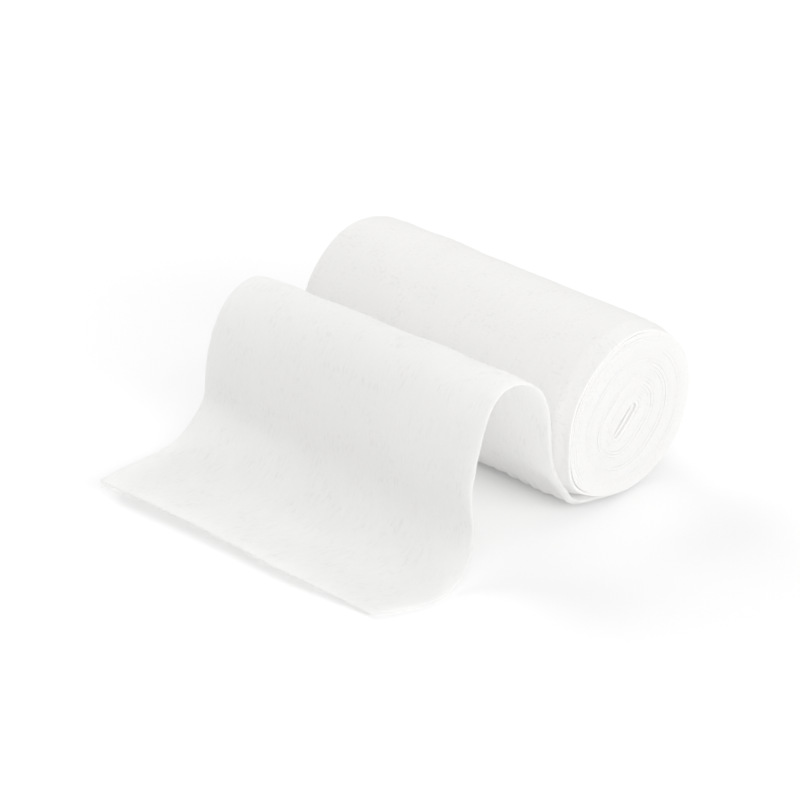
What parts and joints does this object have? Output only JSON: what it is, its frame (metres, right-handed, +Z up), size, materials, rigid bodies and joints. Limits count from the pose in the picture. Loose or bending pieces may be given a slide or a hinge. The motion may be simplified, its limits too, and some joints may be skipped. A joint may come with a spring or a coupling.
{
  "type": "gauze bandage roll",
  "caption": "White gauze bandage wound on itself and lying on its side, with a loose end that rises beside it in a tall arch and lies on the surface, cut off square.",
  "frame": {"origin": "middle of the underside of the box round the whole bandage", "axes": "+Z up, +X along the roll's axis towards its thicker end, -Y from the roll towards the cut end of the loose end"},
  "size_m": [0.1038, 0.1216, 0.0492],
  "materials": {
    "gauze": "matt white crinkled cotton gauze"
  },
  "bodies": {
    "root": {"wound_roll": "gauze", "loose_end": "gauze"}
  },
  "joints": []
}
